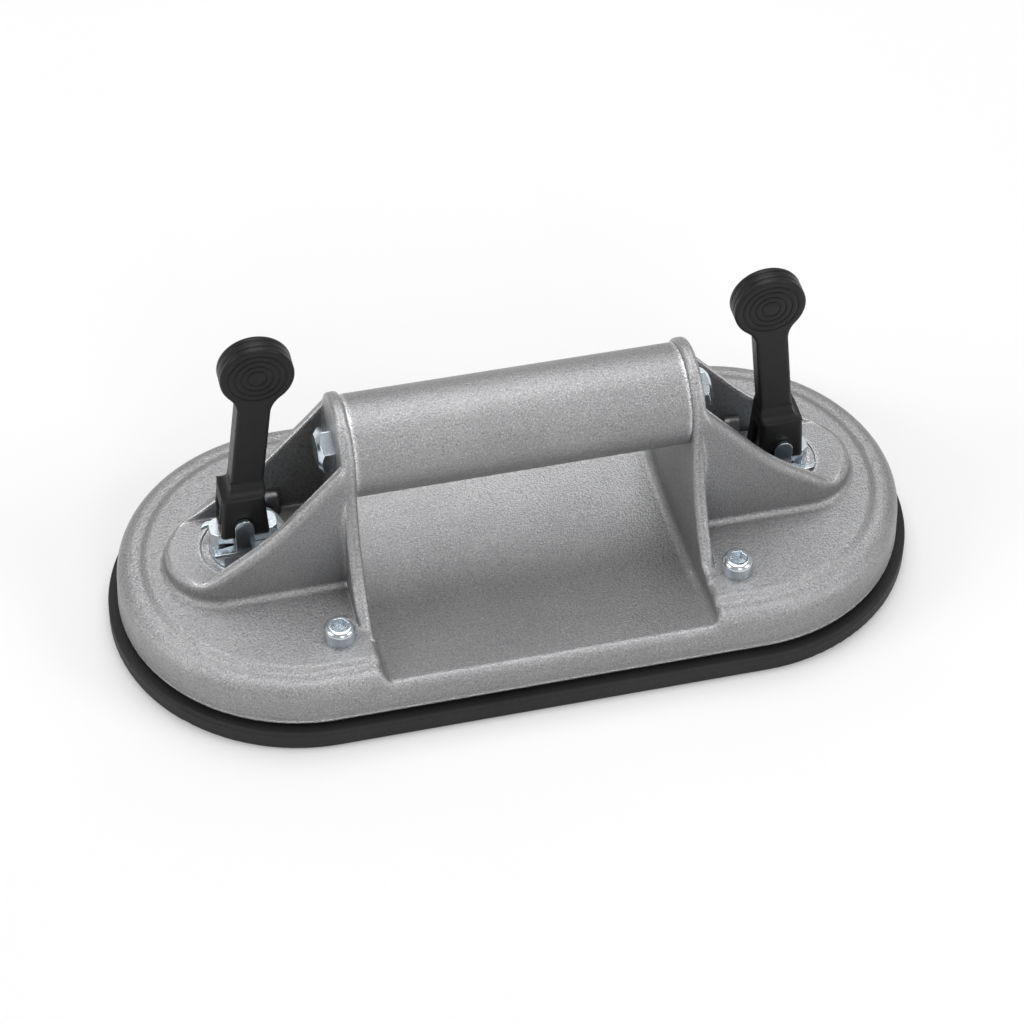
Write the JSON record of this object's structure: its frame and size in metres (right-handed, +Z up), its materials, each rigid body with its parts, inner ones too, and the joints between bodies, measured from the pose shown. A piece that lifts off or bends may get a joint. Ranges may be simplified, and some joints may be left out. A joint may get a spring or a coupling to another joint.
{
  "type": "glass suction cup lifter",
  "caption": "Hand-held glass lifter: cast aluminium body on an oval rubber suction plate, a round grip between arch plates and flip levers that raise the rubber through cams.",
  "frame": {"origin": "plan centre of the rubber plate's underside", "axes": "+X along the long axis from the left pod to the right pod, +Y to the back, +Z up"},
  "size_m": [0.264, 0.125, 0.1174],
  "materials": {
    "cast_body": "tumbled sand casting, satin grey",
    "black_rubber": "matte",
    "plain_steel": "plain",
    "zinc_steel": "zinc plated, bright with a blue tint",
    "black_plastic": "satin moulded"
  },
  "bodies": {
    "base": {"body_casting": "cast_body", "rubber_plate": "black_rubber", "core_plate": "plain_steel", "weld_nuts": "plain_steel", "cap_screws": "zinc_steel", "handle_tube": "cast_body", "handle_plug_left": "plain_steel", "handle_plug_right": "plain_steel", "handle_bolt_left": "zinc_steel", "handle_bolt_right": "zinc_steel", "guide_bush_left": "zinc_steel", "guide_bush_right": "zinc_steel", "pin_keeper_left": "zinc_steel", "pin_keeper_right": "zinc_steel", "return_spring_left": "plain_steel", "return_spring_right": "plain_steel"},
    "stud_left": {"lift_stud_left": "zinc_steel", "stud_foot_left": "plain_steel", "pivot_pin_left": "zinc_steel"},
    "stud_right": {"lift_stud_right": "zinc_steel", "stud_foot_right": "plain_steel", "pivot_pin_right": "zinc_steel"},
    "thumb_lever_left": {"lever_left": "black_plastic"},
    "thumb_lever_right": {"lever_right": "black_plastic"}
  },
  "joints": [
    {"name": "stud_rise_left", "type": "slide", "parent": "base", "child": "stud_left", "axis": [0, 0, 1], "range_m": [0, 0.0025], "deforming": ["return_spring_left"]},
    {"name": "stud_rise_right", "type": "slide", "parent": "base", "child": "stud_right", "axis": [0, 0, 1], "range_m": [0, 0.0025], "deforming": ["return_spring_right"]},
    {"name": "lever_fold_left", "type": "hinge", "parent": "stud_left", "child": "thumb_lever_left", "pos_m": [-0.0875, 0, 0.0466], "axis": [0, -1, 0], "range_deg": [0, 96.5]},
    {"name": "lever_fold_right", "type": "hinge", "parent": "stud_right", "child": "thumb_lever_right", "pos_m": [0.0875, 0, 0.0422], "axis": [0, 1, 0], "range_deg": [0, 96.5]}
  ],
  "couplings": [
    {"joint": "stud_rise_left", "follows": "lever_fold_left", "m_per_rad": 0.0014843},
    {"joint": "stud_rise_right", "follows": "lever_fold_right", "m_per_rad": 0.0014843}
  ]
}
